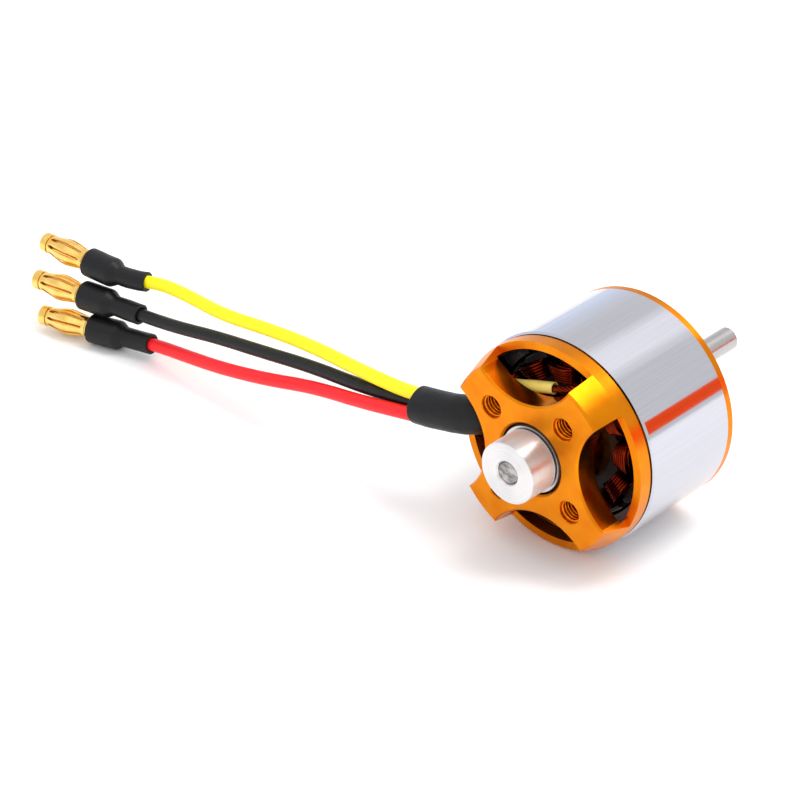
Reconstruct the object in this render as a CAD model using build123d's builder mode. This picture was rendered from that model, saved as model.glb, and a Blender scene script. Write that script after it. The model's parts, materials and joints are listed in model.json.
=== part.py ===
"""Brushless outrunner motor, 28.5 mm can, with three leads that end in bullet connectors.

The shaft lies along Y. The origin is the centre of the mount face, +Y points to the output
end of the shaft and +Z is up, so the motor lies on its can. Sizes are in millimetres.
"""
import os
from math import cos, pi, radians, sin, tan

from build123d import *

os.makedirs("parts", exist_ok=True)

# ---------------------------------------------------------------- driving dimensions
CAN_RADIUS = 14.25
CAN_START = 6.25
CAN_END = 20.97
CAN_BEVEL = 0.25
MAGNET_OUTER = 12.8
MAGNET_INNER = 11.35
STATOR_RADIUS = 11.0
SHAFT_RADIUS = 3.175 / 2
SHAFT_BACK = -4.05
SHAFT_TIP = 40.3
SHAFT_BACK_BEVEL = 0.2
SHAFT_TIP_BEVEL = 0.35

RING_RADIUS = 14.0
RING_INNER = 12.95
RING_START = 4.0
RING_END = 5.9
FACE_RADIUS = 12.8
PLATE_THICKNESS = 3.2
WINDOW_ANGLES = (7.5, 97.5, 187.5, 277.5)
SCALLOP_RADIUS = 8.8
SCALLOP_CENTRE = 16.3
EDGE_BREAK = 0.25

BOLT_CIRCLE = 8.0
BOLT_RADIUS = 1.5
FIRST_BOLT_ANGLE = 52.5
BOLT_MOUTH_BEVEL = 0.1

TUBE_RADIUS = 5.4
TUBE_SHOULDER = 6.2
TUBE_END = 18.3
TUBE_RELIEF = 4.2

BEARING_RADIUS = 9.525 / 2
BEARING_WIDTH = 3.967
BALL_RADIUS = 1.5875 / 2
BALL_CIRCLE = 3.175
BALL_COUNT = 7
BEARING_STARTS = {"front": 0.15, "rear": 14.3}

TOOTH_COUNT = 12
FIRST_TOOTH_ANGLE = 6.0
CORE_START = 8.4
CORE_END = 16.4
INSULATOR = 0.45
MAGNET_COUNT = 14
MAGNET_START = 8.0
MAGNET_LENGTH = 9.0
MAGNET_GAP_ANGLE = 3.4

COLLAR_RADIUS = 4.1
COLLAR_FACE = -4.23
COLLAR_BACK = -0.05
COLLAR_BEVEL = 0.08
COLLAR_BORE_BEVEL = 0.16
WASHER_RADIUS = 2.4
HUB_RADIUS = 4.4
HUB_END = 24.8
BELL_END = 22.2

WIRE_RADIUS = 0.925
TAIL_RADIUS = 0.5
SHRINK_RADIUS = 2.08
SHRINK_LENGTH = 10.2
BULLET_LENGTH = 8.5


# ---------------------------------------------------------------- helpers
def across(y):
    """The plane across the shaft at height y. Its normal points to -Y, its axes are X and Z."""
    return Plane.XZ.offset(-y)


def around(radius, angle, y):
    """The point at that radius and angle round the shaft, the angle from +X towards +Z."""
    return Vector(radius * cos(radians(angle)), y, radius * sin(radians(angle)))


def radial_plane(angle, radius, y):
    """A plane that faces outwards from the shaft, its local x along the shaft."""
    outwards = around(1, angle, 0)
    return Plane(origin=around(radius, angle, y), x_dir=(0, 1, 0), z_dir=outwards)


def finish(builder, name):
    """Names the piece, lists its size and writes it."""
    builder.part.label = name
    solids = builder.part.solids()
    print(f"{name}: {len(solids)} solids, {sum(s.volume for s in solids):.2f} mm3")
    export_step(builder.part, f"parts/{name}.step")


def corner_radii(points, share=0.45):
    """The largest tidy arc at each corner: a share of the shorter run, over the half turn's tangent."""
    radii = []
    for before, at, after in zip(points, points[1:], points[2:]):
        run_in = Vector(*at) - Vector(*before)
        run_out = Vector(*after) - Vector(*at)
        half_turn = radians(run_in.get_angle(run_out) / 2)
        radii.append(share * min(run_in.length, run_out.length) / tan(half_turn))
    return radii


def route(points, share=0.45):
    """Straight runs joined by tangent arcs."""
    return FilletPolyline(*points, radius=corner_radii(points, share))


# ---------------------------------------------------------------- base: arms, ring, bearing tube
with BuildPart() as base_mount:
    with BuildSketch(Plane.XY):
        with BuildLine():
            Polyline(
                (BEARING_RADIUS, 0),
                (FACE_RADIUS, 0),
                (RING_RADIUS, RING_START),
                (RING_RADIUS, RING_END),
                (RING_INNER, RING_END),
                (RING_INNER, PLATE_THICKNESS),
                (TUBE_SHOULDER, PLATE_THICKNESS),
                (TUBE_SHOULDER, CORE_START),
                (TUBE_RADIUS, CORE_START),
                (TUBE_RADIUS, TUBE_END),
                (BEARING_RADIUS, TUBE_END),
                (BEARING_RADIUS, BEARING_STARTS["rear"]),
                (TUBE_RELIEF, BEARING_STARTS["rear"]),
                (TUBE_RELIEF, BEARING_STARTS["front"] + BEARING_WIDTH),
                (BEARING_RADIUS, BEARING_STARTS["front"] + BEARING_WIDTH),
                close=True,
            )
        make_face()
    revolve(axis=Axis.Y)
    with BuildSketch(across(RING_START)):
        for angle in WINDOW_ANGLES:
            x, z = SCALLOP_CENTRE * cos(radians(angle)), SCALLOP_CENTRE * sin(radians(angle))
            with Locations((x, z)):
                Circle(SCALLOP_RADIUS)
    extrude(amount=RING_START, mode=Mode.SUBTRACT)
    front_face = base_mount.faces().sort_by(Axis.Y)[0]
    chamfer(front_face.edges(), length=EDGE_BREAK)
    with Locations(Plane.XZ):
        with PolarLocations(BOLT_CIRCLE, 4, start_angle=FIRST_BOLT_ANGLE):
            CounterSinkHole(BOLT_RADIUS, BOLT_RADIUS + BOLT_MOUTH_BEVEL, depth=PLATE_THICKNESS + 1)
finish(base_mount, "base_mount")


# ---------------------------------------------------------------- stator: core, insulators, coils
TOOTH_ANGLES = [FIRST_TOOTH_ANGLE + n * 360 / TOOTH_COUNT for n in range(TOOTH_COUNT)]
YOKE_RADIUS = 7.1
TOOTH_WIDTH = 2.2
TIP_INNER = 10.35
SLOT_OPENING = 1.3
INSULATOR_OVERHANG = 0.15


def lamination_outline(grow, tip_inner, outer):
    """The yoke, the teeth and their tips, each side of a tooth moved out by grow."""
    Circle(YOKE_RADIUS + grow)
    for tooth_angle in TOOTH_ANGLES:
        with Locations(Rotation(0, 0, tooth_angle)):
            with Locations(((YOKE_RADIUS + tip_inner) / 2, 0)):
                Rectangle(tip_inner - YOKE_RADIUS + 1, TOOTH_WIDTH + 2 * grow)
    with BuildSketch(mode=Mode.PRIVATE) as tips:
        Circle(outer)
        Circle(tip_inner, mode=Mode.SUBTRACT)
        for tooth_angle in TOOTH_ANGLES:
            with Locations(Rotation(0, 0, tooth_angle + 180 / TOOTH_COUNT)):
                with Locations((outer, 0)):
                    Rectangle(3, SLOT_OPENING, mode=Mode.SUBTRACT)
    add(tips.sketch)
    Circle(TUBE_RADIUS, mode=Mode.SUBTRACT)


with BuildPart() as stator_core:
    with BuildSketch(across(CORE_END)):
        lamination_outline(0, TIP_INNER, STATOR_RADIUS)
    extrude(amount=CORE_END - CORE_START)
finish(stator_core, "stator_core")

for name, far_side in (("insulator_front", CORE_START), ("insulator_rear", CORE_END + INSULATOR)):
    with BuildPart() as insulator:
        with BuildSketch(across(far_side)):
            lamination_outline(INSULATOR_OVERHANG, TIP_INNER - 0.1, STATOR_RADIUS - INSULATOR_OVERHANG)
            if name == "insulator_front":
                Circle(TUBE_SHOULDER, mode=Mode.SUBTRACT)
        extrude(amount=INSULATOR)
    finish(insulator, name)

# Each coil is wound round one tooth, and is wider at the tip, where the slot is wider.
COIL_INNER = 7.5
COIL_OUTER = 10.0
COIL_FRONT = 5.6
COIL_BACK = 19.2
COIL_MIDDLE = (COIL_FRONT + COIL_BACK) / 2
COIL_LENGTH = COIL_BACK - COIL_FRONT
# Each end of a coil, at the yoke and at the tooth's tip: its length, its width and its corner radius.
COIL_AT_YOKE = (COIL_LENGTH - 1.2, 3.7, 1.1)
COIL_AT_TIP = (COIL_LENGTH, 4.9, 1.6)
TOOTH_HOLE = (CORE_END - CORE_START + 2 * INSULATOR + 0.1, TOOTH_WIDTH + 0.4)
PHASES = {"a": (0, 1, 6, 7), "b": (2, 3, 8, 9), "c": (4, 5, 10, 11)}


def wound_coil(angle):
    """One coil, lofted outwards along its tooth, with the hole that the tooth fills."""
    with BuildPart() as coil:
        with BuildSketch(radial_plane(angle, COIL_INNER, COIL_MIDDLE)):
            RectangleRounded(*COIL_AT_YOKE)
        with BuildSketch(radial_plane(angle, COIL_OUTER, COIL_MIDDLE)):
            RectangleRounded(*COIL_AT_TIP)
        loft()
        with BuildSketch(radial_plane(angle, COIL_INNER - 0.5, COIL_MIDDLE)):
            Rectangle(*TOOTH_HOLE)
        extrude(amount=COIL_OUTER - COIL_INNER + 1, mode=Mode.SUBTRACT)
    return coil.part


for phase, teeth in PHASES.items():
    phase_coils = [wound_coil(TOOTH_ANGLES[tooth]) for tooth in teeth]
    with BuildPart() as coils:
        add(phase_coils)
    finish(coils, f"coils_phase_{phase}")


# ---------------------------------------------------------------- two ball bearings
OUTER_RACE_INNER = 3.76
INNER_RACE_OUTER = 2.55
GROOVE_RADIUS = BALL_RADIUS + 0.04
SHIELD_INNER = 2.75
SHIELD_THICKNESS = 0.2
SHIELD_INSET = 0.15
CAGE_OUTER = 3.45
CAGE_INNER = 2.9
CAGE_WIDTH = 2.2
POCKET_RADIUS = BALL_RADIUS + 0.05
RACE_BEVEL = 0.3

for place, start in BEARING_STARTS.items():
    middle = start + BEARING_WIDTH / 2
    end = start + BEARING_WIDTH

    with BuildPart() as outer_race:
        with BuildSketch(Plane.XY):
            with Locations(((BEARING_RADIUS + OUTER_RACE_INNER) / 2, middle)):
                Rectangle(BEARING_RADIUS - OUTER_RACE_INNER, BEARING_WIDTH)
            with Locations((BALL_CIRCLE, middle)):
                Circle(GROOVE_RADIUS, mode=Mode.SUBTRACT)
        revolve(axis=Axis.Y)
        rims = outer_race.edges().filter_by(GeomType.CIRCLE).sort_by(SortBy.RADIUS)[-2:]
        chamfer(rims, length=RACE_BEVEL)
    finish(outer_race, f"bearing_outer_race_{place}")

    with BuildPart() as inner_race:
        with BuildSketch(Plane.XY):
            with Locations(((SHAFT_RADIUS + INNER_RACE_OUTER) / 2, middle)):
                Rectangle(INNER_RACE_OUTER - SHAFT_RADIUS, BEARING_WIDTH)
            with Locations((BALL_CIRCLE, middle)):
                Circle(GROOVE_RADIUS, mode=Mode.SUBTRACT)
        revolve(axis=Axis.Y)
    finish(inner_race, f"bearing_inner_race_{place}")

    with BuildPart() as shields:
        for shield_start in (start + SHIELD_INSET, end - SHIELD_INSET - SHIELD_THICKNESS):
            with BuildSketch(across(shield_start + SHIELD_THICKNESS)):
                Circle(OUTER_RACE_INNER)
                Circle(SHIELD_INNER, mode=Mode.SUBTRACT)
            extrude(amount=SHIELD_THICKNESS)
    finish(shields, f"bearing_shields_{place}")

    with BuildPart() as balls:
        with Locations(across(middle)):
            with PolarLocations(BALL_CIRCLE, BALL_COUNT):
                Sphere(BALL_RADIUS)
    finish(balls, f"bearing_balls_{place}")

    with BuildPart() as cage:
        with BuildSketch(across(middle + CAGE_WIDTH / 2)):
            Circle(CAGE_OUTER)
            Circle(CAGE_INNER, mode=Mode.SUBTRACT)
        extrude(amount=CAGE_WIDTH)
        for n in range(BALL_COUNT):
            with BuildSketch(radial_plane(n * 360 / BALL_COUNT, BALL_CIRCLE, middle)):
                Circle(POCKET_RADIUS)
            extrude(amount=CAGE_OUTER - CAGE_INNER, both=True, mode=Mode.SUBTRACT)
    finish(cage, f"bearing_cage_{place}")


# ---------------------------------------------------------------- rotor
# A shallow groove just outside the hub parts the seat in the bell from the free output end.
GROOVE_START = HUB_END + 0.05
GROOVE_WIDTH = 0.6
GROOVE_FLOOR = SHAFT_RADIUS - 0.2

with BuildPart() as shaft:
    with BuildSketch(across(SHAFT_TIP)):
        Circle(SHAFT_RADIUS)
    extrude(amount=SHAFT_TIP - SHAFT_BACK)
    chamfer(shaft.edges().filter_by(GeomType.CIRCLE).sort_by(Axis.Y)[0], length=SHAFT_BACK_BEVEL)
    chamfer(shaft.edges().filter_by(GeomType.CIRCLE).sort_by(Axis.Y)[-1], length=SHAFT_TIP_BEVEL)
    with BuildSketch(across(GROOVE_START + GROOVE_WIDTH)):
        Circle(SHAFT_RADIUS + 1)
        Circle(GROOVE_FLOOR, mode=Mode.SUBTRACT)
    extrude(amount=GROOVE_WIDTH, mode=Mode.SUBTRACT)
finish(shaft, "shaft")

with BuildPart() as flux_ring:
    with BuildSketch(across(CAN_END)):
        Circle(CAN_RADIUS)
        Circle(MAGNET_OUTER, mode=Mode.SUBTRACT)
    extrude(amount=CAN_END - CAN_START)
    chamfer(flux_ring.faces().sort_by(Axis.Y)[0].edges(), length=CAN_BEVEL)
finish(flux_ring, "flux_ring")

with BuildPart() as magnets:
    magnet_arc = 360 / MAGNET_COUNT - MAGNET_GAP_ANGLE
    for n in range(MAGNET_COUNT):
        turn = n * 360 / MAGNET_COUNT
        with BuildSketch(across(MAGNET_START + MAGNET_LENGTH)):
            with BuildLine():
                CenterArc((0, 0), MAGNET_OUTER, turn, magnet_arc)
                CenterArc((0, 0), MAGNET_INNER, turn, magnet_arc)
                for side in (turn, turn + magnet_arc):
                    c, s = cos(radians(side)), sin(radians(side))
                    Line((MAGNET_INNER * c, MAGNET_INNER * s), (MAGNET_OUTER * c, MAGNET_OUTER * s))
            make_face()
        extrude(amount=MAGNET_LENGTH)
finish(magnets, "magnets")

BELL_HUB_START = 19.0
BELL_WEB_START = 20.6
SPIGOT_START = 19.4
SPIGOT_INNER = 11.9
BELL_EDGE = 0.3
BACK_HUB_RADIUS = HUB_RADIUS - 0.6
VENT_COUNT = 6
VENT_INNER = 6.2
VENT_OUTER = 11.0
SPOKE_WIDTH = 2.4
HUB_SCREW_ANGLE = 90
HUB_SCREW_Y = 23.5
HUB_SCREW_RADIUS = 0.97
HUB_SCREW_LENGTH = 2.4
SCREW_CLEARANCE = 0.03

with BuildPart() as end_bell:
    with BuildSketch(Plane.XY):
        with BuildLine():
            Polyline(
                (SHAFT_RADIUS, BELL_HUB_START),
                (BACK_HUB_RADIUS, BELL_HUB_START),
                (BACK_HUB_RADIUS, BELL_WEB_START),
                (SPIGOT_INNER, BELL_WEB_START),
                (SPIGOT_INNER, SPIGOT_START),
                (MAGNET_OUTER, SPIGOT_START),
                (MAGNET_OUTER, CAN_END),
                (CAN_RADIUS, CAN_END),
                (CAN_RADIUS, BELL_END - BELL_EDGE),
                (CAN_RADIUS - BELL_EDGE, BELL_END),
                (HUB_RADIUS, BELL_END),
                (HUB_RADIUS, HUB_END - BELL_EDGE),
                (HUB_RADIUS - BELL_EDGE, HUB_END),
                (SHAFT_RADIUS, HUB_END),
                close=True,
            )
        make_face()
    revolve(axis=Axis.Y)
    with BuildSketch(across(BELL_END + 0.1)):
        Circle(VENT_OUTER)
        Circle(VENT_INNER, mode=Mode.SUBTRACT)
        for n in range(VENT_COUNT):
            with Locations(Rotation(0, 0, n * 360 / VENT_COUNT)):
                with Locations((VENT_OUTER / 2 + 1, 0)):
                    Rectangle(VENT_OUTER + 2, SPOKE_WIDTH, mode=Mode.SUBTRACT)
    extrude(amount=2, mode=Mode.SUBTRACT)
    with BuildSketch(radial_plane(HUB_SCREW_ANGLE, HUB_RADIUS + 1, HUB_SCREW_Y)):
        Circle(HUB_SCREW_RADIUS + SCREW_CLEARANCE)
    extrude(amount=-(HUB_RADIUS + 1 - SHAFT_RADIUS + 0.3), mode=Mode.SUBTRACT)
finish(end_bell, "end_bell")


def grub_screw(angle, length, radius, y):
    """A hex-socket grub screw that points at the shaft and touches it."""
    with BuildPart() as screw:
        with BuildSketch(radial_plane(angle, SHAFT_RADIUS, y)):
            Circle(radius)
        extrude(amount=length)
        with BuildSketch(radial_plane(angle, SHAFT_RADIUS + length, y)):
            RegularPolygon(radius * 0.5, 6, major_radius=False)
        extrude(amount=-length * 0.45, mode=Mode.SUBTRACT)
    return screw


hub_screw = grub_screw(HUB_SCREW_ANGLE, HUB_SCREW_LENGTH, HUB_SCREW_RADIUS, HUB_SCREW_Y)
finish(hub_screw, "hub_grub_screw")

COLLAR_SCREW_ANGLE = 222.5
COLLAR_SCREW_Y = -2.1
COLLAR_SCREW_RADIUS = 1.22
COLLAR_SCREW_LENGTH = 2.2

with BuildPart() as collar:
    with BuildSketch(across(COLLAR_BACK)):
        Circle(COLLAR_RADIUS)
        Circle(SHAFT_RADIUS, mode=Mode.SUBTRACT)
    extrude(amount=COLLAR_BACK - COLLAR_FACE)
    chamfer(collar.faces().sort_by(Axis.Y)[0].edges().sort_by(SortBy.RADIUS)[-1], length=COLLAR_BEVEL)
    chamfer(collar.faces().sort_by(Axis.Y)[0].edges().sort_by(SortBy.RADIUS)[0], length=COLLAR_BORE_BEVEL)
    with BuildSketch(radial_plane(COLLAR_SCREW_ANGLE, COLLAR_RADIUS + 1, COLLAR_SCREW_Y)):
        Circle(COLLAR_SCREW_RADIUS + SCREW_CLEARANCE)
    extrude(amount=-(COLLAR_RADIUS + 1 - SHAFT_RADIUS + 0.3), mode=Mode.SUBTRACT)
finish(collar, "shaft_collar")

collar_screw = grub_screw(COLLAR_SCREW_ANGLE, COLLAR_SCREW_LENGTH, COLLAR_SCREW_RADIUS, COLLAR_SCREW_Y)
finish(collar_screw, "collar_grub_screw")

for name, washer_start, washer_end in (
    ("collar_washer", COLLAR_BACK, BEARING_STARTS["front"]),
    ("bell_spacer", BEARING_STARTS["rear"] + BEARING_WIDTH, BELL_HUB_START),
):
    with BuildPart() as washer:
        with BuildSketch(across(washer_end)):
            Circle(WASHER_RADIUS)
            Circle(SHAFT_RADIUS, mode=Mode.SUBTRACT)
        extrude(amount=washer_end - washer_start)
    finish(washer, name)


# ---------------------------------------------------------------- leads
# The three leads leave the motor through the left window in one heat-shrink sleeve.
SLEEVE_INNER_END = (-10.5, 3.1, 0.7)
SLEEVE_BEND = (-11.4, 1.35, 0.65)
SLEEVE_MOUTH = (-19.1, 1.05, -0.73)
SLEEVE_RADIUS = 2.55
SLEEVE_BORE = 2.3

with BuildPart() as lead_sleeve:
    with BuildLine():
        route([SLEEVE_INNER_END, SLEEVE_BEND, SLEEVE_MOUTH], share=0.95)
    sleeve_start = Plane(
        origin=SLEEVE_INNER_END,
        z_dir=Vector(*SLEEVE_BEND) - Vector(*SLEEVE_INNER_END),
    )
    with BuildSketch(sleeve_start):
        Circle(SLEEVE_RADIUS)
        Circle(SLEEVE_BORE, mode=Mode.SUBTRACT)
    sweep()
finish(lead_sleeve, "lead_bundle_sleeve")

# Where each conductor runs inside the sleeve, from the sleeve's centre line.
BUNDLE_OFFSETS = {
    "yellow": Vector(-0.24, 0.33, 1.20),
    "black": Vector(0.07, 1.17, -0.50),
    "red": Vector(0.22, -0.66, -1.07),
}

# Each lead from its solder joint in the sleeve to the cup of its connector.
LEAD_ROUTES = {
    "yellow": [
        (-14.74, 1.56, 1.29),
        (-20.54, 1.33, 0.25),
        (-30.5, 2.2, -0.65),
        (-40.2, 3.55, -1.6),
        (-48.5, 3.85, -2.45),
        (-57.5, 3.5, -3.4),
        (-65.0, 4.25, -3.65),
        (-70.6, 4.2, -3.8),
    ],
    "black": [
        (-14.43, 2.40, -0.41),
        (-20.23, 2.17, -1.45),
        (-30.0, 2.0, -2.8),
        (-39.5, 2.65, -4.0),
        (-49.0, 2.45, -5.35),
        (-57.5, 2.4, -6.5),
        (-64.3, 1.65, -7.35),
        (-69.8, 1.45, -7.95),
    ],
    "red": [
        (-14.28, 0.57, -0.98),
        (-20.08, 0.34, -2.02),
        (-28.6, 0.45, -3.85),
        (-37.8, 1.05, -5.7),
        (-46.0, 0.3, -7.5),
        (-54.5, 0.35, -9.3),
        (-62.0, 1.0, -10.75),
        (-67.8, 1.4, -11.7),
    ],
}
# The point where each connector's heat-shrink ends and its bare gold part begins, and the way
# that the connector points: degrees round from -X towards -Y, and degrees up.
CONNECTORS = {
    "yellow": ((-82.35, 1.66, -3.75), 6.3, 4.0),
    "black": ((-81.66, -0.37, -7.94), 10.5, 0.8),
    "red": ((-79.4, -1.15, -12.1), 14.9, -0.3),
}
# Along a connector's axis, 0 is where the heat-shrink ends, and the bare gold part is positive.
CUP_DEPTH = 1.6
LEAD_END = CUP_DEPTH + 0.1
LAST_BEND = 7.2
CUP_BACK = -4.4
CUP_RADIUS = 1.75
CUP_BORE = 1.2
SHOULDER = -4.6
NARROW_START = -5.6
NARROW_RADIUS = 1.42
NARROW_OVERLAP = 0.25
NECK_RADIUS = NARROW_RADIUS + 0.08
SHRINK_BORE = CUP_RADIUS + 0.02
SHRINK_THROAT = WIRE_RADIUS + 0.06
NECK_BORE = SHRINK_THROAT + 0.08
LEAF_COUNT = 8
LEAF_THICKNESS = 0.16
LEAF_START = 0.5
LEAF_WIDEST = 3.9
LEAF_END = 7.15
LEAF_BACK_RADIUS = 1.5
LEAF_WIDEST_RADIUS = 1.9
LEAF_TIP_RADIUS = 1.3
TIP_START = LEAF_END + 0.05
TIP_RADIUS = 1.42
TIP_ROUND = 0.45
PIN_RADIUS = 0.85
LIP_BACK = -0.6
LIP_FRONT = LEAF_START - 0.05
LIP_RADIUS = 1.45
SLIT_LENGTH = 5.6
SLIT_WIDTH = 0.42

for colour, points in LEAD_ROUTES.items():
    start, turn, pitch = CONNECTORS[colour]
    forward = Vector(
        -cos(radians(turn)) * cos(radians(pitch)),
        -sin(radians(turn)) * cos(radians(pitch)),
        sin(radians(pitch)),
    )
    lead_end = Vector(*start) - forward * LEAD_END
    straight_in = Vector(*start) - forward * LAST_BEND
    whole_route = points + [tuple(straight_in), tuple(lead_end)]
    axis = Axis(start, forward)
    side = forward.cross(Vector(0, 0, 1))
    profile = Plane(origin=start, x_dir=forward, z_dir=side)
    radii = corner_radii(whole_route)
    print(f"lead_{colour} radii:", " ".join(f"{r:.1f}" for r in radii))

    with BuildPart() as lead:
        with BuildLine() as lead_line:
            route(whole_route)
        lead_path = lead_line.wire()
        with BuildSketch(Plane(origin=whole_route[0], z_dir=lead_path % 0)):
            Circle(WIRE_RADIUS)
        sweep(path=lead_path)
    section = pi * WIRE_RADIUS**2
    print(f"lead_{colour}: length {lead_path.length:.2f}, section x length {section * lead_path.length:.2f}")
    finish(lead, f"lead_{colour}")

    # The narrow end of the heat-shrink follows the lead, and the wide end holds the solder cup.
    first = 1 - (SHRINK_LENGTH - LEAD_END) / lead_path.length
    last = 1 - (-NARROW_START - NARROW_OVERLAP - LEAD_END) / lead_path.length
    narrow_path = lead_path.trim(first, last)
    with BuildPart() as shrink:
        with BuildSketch(Plane(origin=narrow_path @ 0, z_dir=narrow_path % 0)):
            Circle(NARROW_RADIUS)
            Circle(SHRINK_THROAT, mode=Mode.SUBTRACT)
        sweep(path=narrow_path)
        with BuildSketch(profile):
            with BuildLine():
                Polyline(
                    (0, SHRINK_BORE),
                    (0, SHRINK_RADIUS - 0.15),
                    (-0.15, SHRINK_RADIUS),
                    (SHOULDER, SHRINK_RADIUS),
                )
                Spline(
                    (SHOULDER, SHRINK_RADIUS),
                    (NARROW_START, NECK_RADIUS),
                    tangents=((-1, 0), (-1, 0)),
                )
                Polyline(
                    (NARROW_START, NECK_RADIUS),
                    (NARROW_START, NECK_BORE),
                    (NARROW_START + 0.3, NECK_BORE),
                    (CUP_BACK - 0.05, SHRINK_BORE),
                    (0, SHRINK_BORE),
                )
            make_face()
        revolve(axis=axis)
    finish(shrink, f"heat_shrink_{colour}")

    # Solder cup, inner pin and rounded tip, turned from one piece of brass.
    with BuildPart() as bullet:
        with BuildSketch(profile):
            with BuildLine():
                Polyline(
                    (BULLET_LENGTH - TIP_ROUND, TIP_RADIUS),
                    (TIP_START, TIP_RADIUS),
                    (TIP_START, PIN_RADIUS),
                    (LIP_FRONT, PIN_RADIUS),
                    (LIP_FRONT, LIP_RADIUS),
                    (LIP_BACK, LIP_RADIUS),
                    (LIP_BACK, CUP_RADIUS),
                    (CUP_BACK, CUP_RADIUS),
                    (CUP_BACK, CUP_BORE),
                    (-CUP_DEPTH, CUP_BORE),
                    (-CUP_DEPTH, 0),
                    (BULLET_LENGTH, 0),
                    (BULLET_LENGTH, TIP_RADIUS - TIP_ROUND),
                )
                TangentArc(
                    (BULLET_LENGTH, TIP_RADIUS - TIP_ROUND),
                    (BULLET_LENGTH - TIP_ROUND, TIP_RADIUS),
                    tangent=(0, 1),
                )
            make_face()
        revolve(axis=axis)
    finish(bullet, f"bullet_pin_{colour}")

    # The slotted spring sleeve bows out round the pin and is closed at both ends.
    with BuildPart() as leaves:
        with BuildSketch(profile):
            with BuildLine():
                outer_leaf = ThreePointArc(
                    (LEAF_START, LEAF_BACK_RADIUS),
                    (LEAF_WIDEST, LEAF_WIDEST_RADIUS),
                    (LEAF_END, LEAF_TIP_RADIUS),
                )
                inner_leaf = ThreePointArc(
                    (LEAF_START, LEAF_BACK_RADIUS - LEAF_THICKNESS),
                    (LEAF_WIDEST, LEAF_WIDEST_RADIUS - LEAF_THICKNESS),
                    (LEAF_END, LEAF_TIP_RADIUS - LEAF_THICKNESS),
                )
                Line(outer_leaf @ 0, inner_leaf @ 0)
                Line(outer_leaf @ 1, inner_leaf @ 1)
            make_face()
        revolve(axis=axis)
        for n in range(LEAF_COUNT):
            slot_way = side.rotate(Axis((0, 0, 0), forward), (n + 0.5) * 360 / LEAF_COUNT)
            slot_plane = Plane(origin=start + forward * LEAF_WIDEST, x_dir=forward, z_dir=slot_way)
            with BuildSketch(slot_plane):
                SlotOverall(SLIT_LENGTH, SLIT_WIDTH)
            extrude(amount=3, mode=Mode.SUBTRACT)
    finish(leaves, f"lantern_spring_{colour}")

    # The solder fillet that closes the cup round the lead.
    with BuildPart() as cup_solder:
        with BuildSketch(Plane(origin=start + forward * CUP_BACK, z_dir=forward)):
            Circle(CUP_BORE)
            Circle(SHRINK_THROAT, mode=Mode.SUBTRACT)
        extrude(amount=-CUP_BACK - CUP_DEPTH)
    finish(cup_solder, f"cup_solder_{colour}")


# ---------------------------------------------------------------- winding tails in the motor
# Each phase's enamelled ends leave the coils behind the base plate and meet a lead in the sleeve.
JOINT_LENGTH = 1.5
JOINT_RADIUS = 0.8
TUBING_BORE = TAIL_RADIUS + 0.04
TUBING_RADIUS = TAIL_RADIUS + 0.25
TAIL_ROUTES = {
    "yellow": [
        (-10.6, 3.9, 2.6),
        (-9.2, 4.5, 4.6),
        (-6.9, 4.4, 5.9),
        (-4.0, 4.35, 6.9),
        (-0.8, 4.4, 8.0),
        (1.4, 4.5, 8.5),
        (3.0, 4.85, 9.3),
    ],
    "black": [(-10.0, 4.6, 0.2), (-8.6, 4.9, -0.4)],
    "red": [
        (-10.2, 3.75, -0.8),
        (-9.4, 4.5, -3.4),
        (-7.9, 4.4, -5.6),
        (-5.2, 4.45, -7.3),
        (-2.4, 4.4, -8.2),
        (-0.6, 4.8, -9.2),
    ],
}
TAIL_SLEEVE_SHARE = {"yellow": (0.42, 0.83), "red": (0.45, 0.8)}

for colour, points in TAIL_ROUTES.items():
    lead_start = Vector(*LEAD_ROUTES[colour][0])
    along = (lead_start - Vector(*LEAD_ROUTES[colour][1])).normalized()
    joint_end = lead_start + along * JOINT_LENGTH
    bend = Vector(*SLEEVE_BEND) + BUNDLE_OFFSETS[colour]

    with BuildPart() as joint:
        with BuildSketch(Plane(origin=lead_start, z_dir=along)):
            Circle(JOINT_RADIUS)
        extrude(amount=JOINT_LENGTH)
    finish(joint, f"lead_solder_{colour}")

    with BuildPart() as tail:
        with BuildLine() as tail_line:
            route([tuple(joint_end), tuple(bend), *points])
        tail_path = tail_line.wire()
        with BuildSketch(Plane(origin=tail_path @ 0, z_dir=tail_path % 0)):
            Circle(TAIL_RADIUS)
        sweep(path=tail_path)
    finish(tail, f"winding_tail_{colour}")

    if colour in TAIL_SLEEVE_SHARE:
        with BuildPart() as tail_sleeve:
            sleeve_path = tail_path.trim(*TAIL_SLEEVE_SHARE[colour])
            with BuildSketch(Plane(origin=sleeve_path @ 0, z_dir=sleeve_path % 0)):
                Circle(TUBING_RADIUS)
                Circle(TUBING_BORE, mode=Mode.SUBTRACT)
            sweep(path=sleeve_path)
        finish(tail_sleeve, f"tail_insulation_{colour}")
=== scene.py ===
"""The looks of a small brushless outrunner motor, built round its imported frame.

Lengths are in metres, in the frame's axes: +Y runs along the shaft to its output tip and +Z is up.
Routes and sizes that belong to the CAD part are written in millimetres and multiplied by MM.
"""

import json
import math

import bmesh
import bpy
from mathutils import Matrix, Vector, noise

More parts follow.
